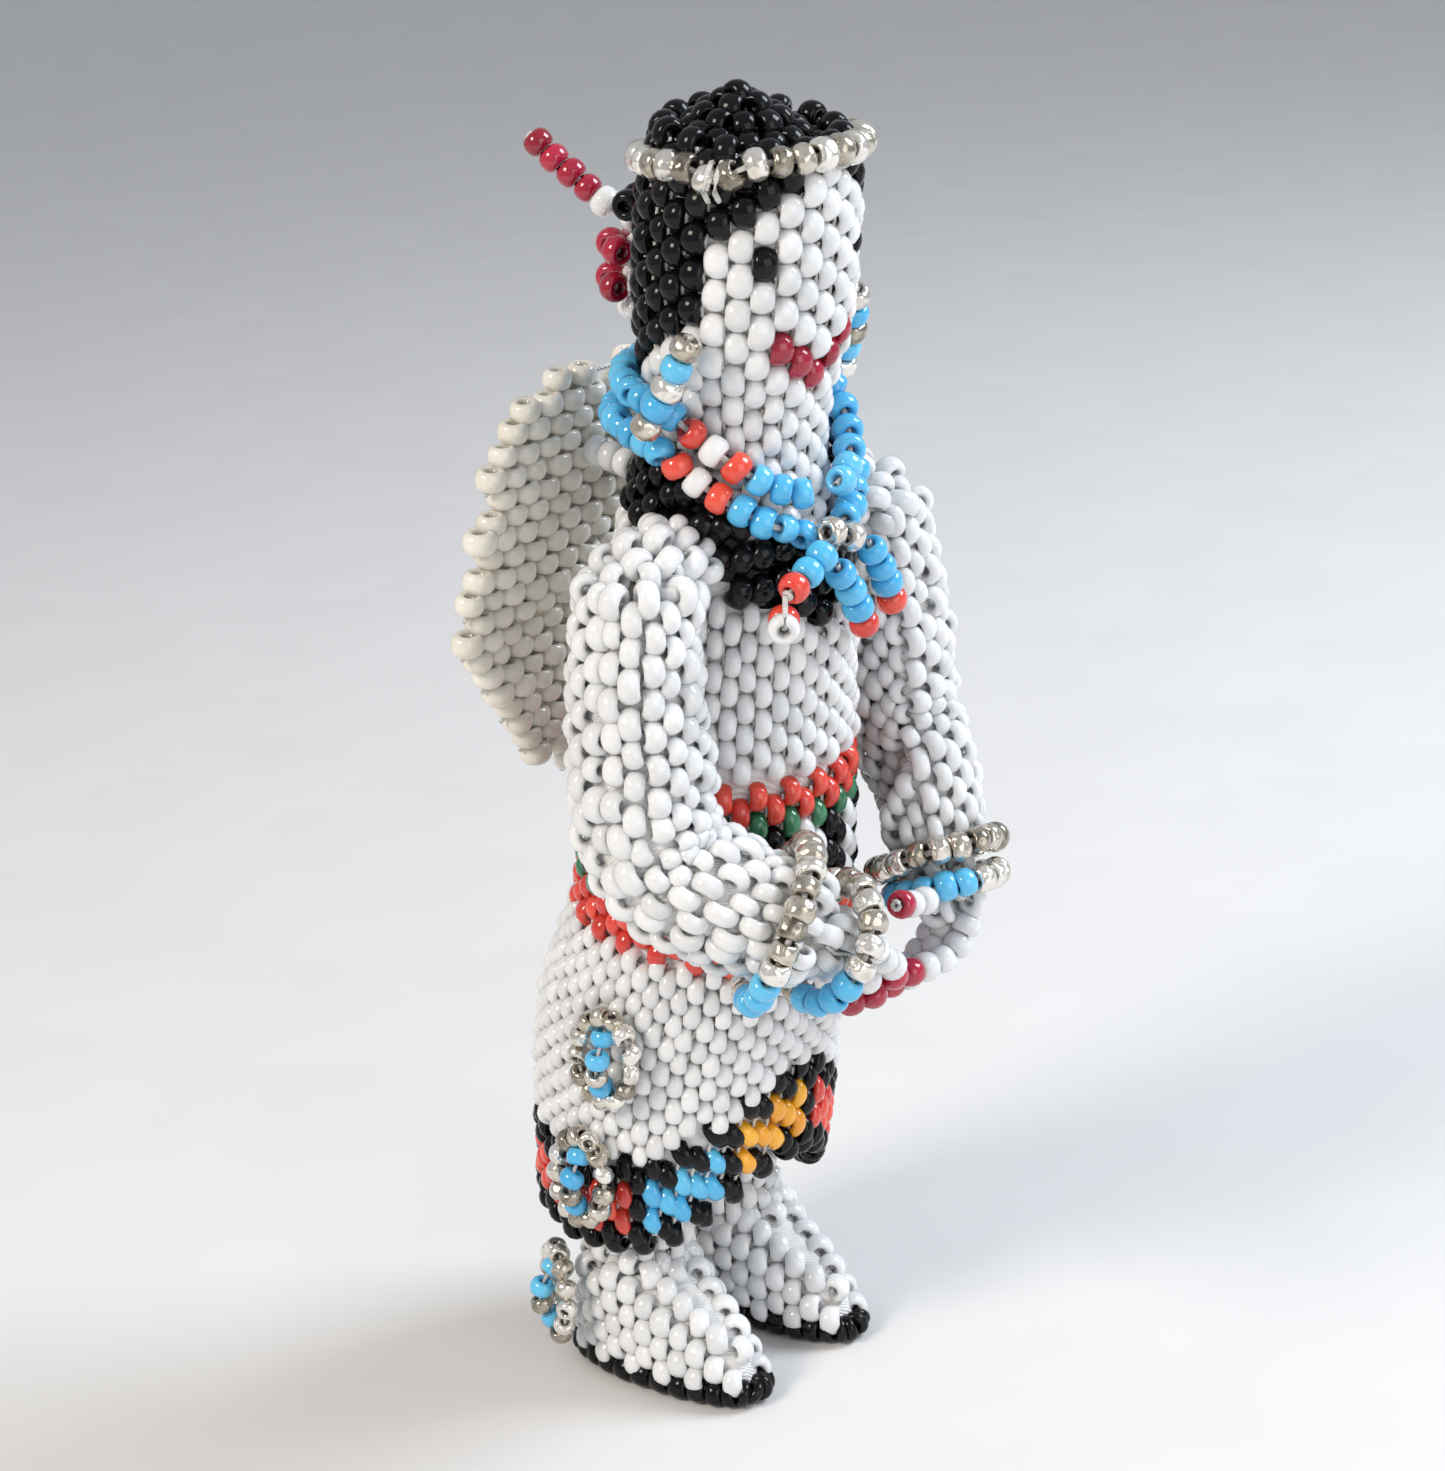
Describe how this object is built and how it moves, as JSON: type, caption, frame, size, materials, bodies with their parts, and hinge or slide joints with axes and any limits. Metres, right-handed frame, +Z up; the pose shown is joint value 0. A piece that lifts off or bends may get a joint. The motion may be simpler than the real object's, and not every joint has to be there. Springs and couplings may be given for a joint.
{
  "type": "bead-stitched standing figure",
  "caption": "Standing figure of glass seed beads stitched over a stuffed core, with belt, patterned hem, cape, necklace with tassels, bracelets, side conchos and hair tie",
  "frame": {"origin": "centre of the bottom of the bounding box, on the plane that the soles stand on", "axes": "+Z up and the longest extent, the figure faces -Y, its right hand side is -X"},
  "size_m": [0.033, 0.0361, 0.0887],
  "materials": {
    "white_bead": "opaque gloss glass",
    "black_bead": "opaque gloss glass",
    "blue_bead": "opaque gloss glass",
    "red_bead": "opaque gloss glass",
    "dark_red_bead": "opaque gloss glass",
    "mixed_bead": "opaque gloss glass, several colours in a pattern",
    "silver_bead": "silver-lined clear glass",
    "thread": "waxed white beading thread",
    "core": "stuffed cotton over wire"
  },
  "bodies": {
    "figure": {"torso_core": "core", "head_core": "core", "neck_beadwork": "white_bead", "face_beadwork": "white_bead", "hair_beadwork": "black_bead", "crown_beadwork": "black_bead", "head_ring_beads": "silver_bead", "head_ring_thread": "thread", "hair_knot": "white_bead", "hair_tie_beads": "dark_red_bead", "collar_beadwork": "black_bead", "bodice_beadwork": "white_bead", "belt_beadwork": "mixed_bead", "skirt_beadwork": "white_bead", "hem_border": "mixed_bead", "necklace_upper": "blue_bead", "necklace_lower": "blue_bead", "necklace_threads": "thread", "necklace_knot": "silver_bead", "legging_right": "white_bead", "legging_left": "white_bead", "boot_right": "white_bead", "boot_left": "white_bead", "sole_right": "black_bead", "sole_left": "black_bead", "leg_core_right": "core", "leg_core_left": "core", "cape_tabs": "white_bead"},
    "arm_right": {"arm_core_right": "core", "arm_beadwork_right": "white_bead", "palm_right": "white_bead", "fingers_right": "white_bead", "bracelet_inner_right": "silver_bead"},
    "arm_left": {"arm_core_left": "core", "arm_beadwork_left": "white_bead", "palm_left": "white_bead", "fingers_left": "white_bead", "thumb_left": "dark_red_bead", "bracelet_inner_left": "silver_bead"},
    "bracelet_right": {"bracelet_outer_right": "silver_bead"},
    "bracelet_left": {"bracelet_outer_left": "silver_bead"},
    "tassel_right": {"tassel_right": "blue_bead"},
    "tassel_middle": {"tassel_middle": "blue_bead"},
    "tassel_left": {"tassel_left": "blue_bead"},
    "pendant": {"pendant": "white_bead"},
    "earring_right": {"earring_right": "silver_bead"},
    "earring_left": {"earring_left": "silver_bead"},
    "hair_strand": {"hair_strand": "dark_red_bead"},
    "cape": {"cape_beadwork": "white_bead"},
    "concho_waist": {"concho_waist_ring": "silver_bead", "concho_waist_strand": "blue_bead"},
    "concho_hem": {"concho_hem_ring": "silver_bead", "concho_hem_strand": "blue_bead"},
    "concho_ankle": {"concho_ankle_ring": "silver_bead", "concho_ankle_strand": "blue_bead"}
  },
  "joints": [
    {"name": "shoulder_right", "type": "hinge", "parent": "figure", "child": "arm_right", "pos_m": [-0.01078, -0.00475, 0.05913], "axis": [-1, 0, 0], "range_deg": [0, 25]},
    {"name": "shoulder_left", "type": "hinge", "parent": "figure", "child": "arm_left", "pos_m": [0.01182, -0.00466, 0.05864], "axis": [-1, 0, 0], "range_deg": [0, 25]},
    {"name": "bracelet_turn_right", "type": "hinge", "parent": "arm_right", "child": "bracelet_right", "pos_m": [-0.008, -0.01187, 0.03878], "axis": [0.4886, -0.7781, -0.3947], "range_deg": [-40, 40]},
    {"name": "bracelet_turn_left", "type": "hinge", "parent": "arm_left", "child": "bracelet_left", "pos_m": [0.01029, -0.01, 0.03455], "axis": [-0.1624, -0.4222, -0.8918], "range_deg": [-40, 40]},
    {"name": "tassel_right_swing", "type": "hinge", "parent": "figure", "child": "tassel_right", "pos_m": [-0.00138, -0.01236, 0.06098], "axis": [-0.9285, -0.0728, 0.3642], "range_deg": [0, 20]},
    {"name": "pendant_swing", "type": "hinge", "parent": "tassel_right", "child": "pendant", "pos_m": [-0.00568, -0.0126, 0.05909], "axis": [-1, 0, 0], "range_deg": [-20, 20]},
    {"name": "tassel_middle_swing", "type": "hinge", "parent": "figure", "child": "tassel_middle", "pos_m": [-0.00038, -0.01235, 0.05965], "axis": [-1, 0, 0], "range_deg": [0, 35]},
    {"name": "tassel_left_swing", "type": "hinge", "parent": "figure", "child": "tassel_left", "pos_m": [0.00282, -0.01219, 0.06009], "axis": [-1, 0, 0], "range_deg": [0, 35]},
    {"name": "earring_right_swing", "type": "hinge", "parent": "figure", "child": "earring_right", "pos_m": [-0.00698, -0.00811, 0.07488], "axis": [0, 0.9806, 0.1959], "range_deg": [0, 40]},
    {"name": "earring_left_swing", "type": "hinge", "parent": "figure", "child": "earring_left", "pos_m": [0.00822, -0.00811, 0.07488], "axis": [0, -0.9806, -0.1959], "range_deg": [0, 40]},
    {"name": "hair_strand_swing", "type": "hinge", "parent": "figure", "child": "hair_strand", "pos_m": [0.00032, 0.00462, 0.08059], "axis": [1, 0, 0], "range_deg": [-15, 20]},
    {"name": "cape_lift", "type": "hinge", "parent": "figure", "child": "cape", "pos_m": [0.00062, 0.00739, 0.06574], "axis": [1, 0, 0], "range_deg": [0, 20]},
    {"name": "concho_waist_swing", "type": "hinge", "parent": "figure", "child": "concho_waist", "pos_m": [-0.01048, 0.00185, 0.03037], "axis": [-0.2079, 0.9592, 0.1917], "range_deg": [0, 40]},
    {"name": "concho_hem_swing", "type": "hinge", "parent": "figure", "child": "concho_hem", "pos_m": [-0.01069, 0.00513, 0.02093], "axis": [-0.0872, 0.9769, 0.1952], "range_deg": [0, 40]},
    {"name": "concho_ankle_swing", "type": "hinge", "parent": "figure", "child": "concho_ankle", "pos_m": [-0.00893, 0.0112, 0.0098], "axis": [0.4695, 0.8829, 0], "range_deg": [0, 40]}
  ]
}
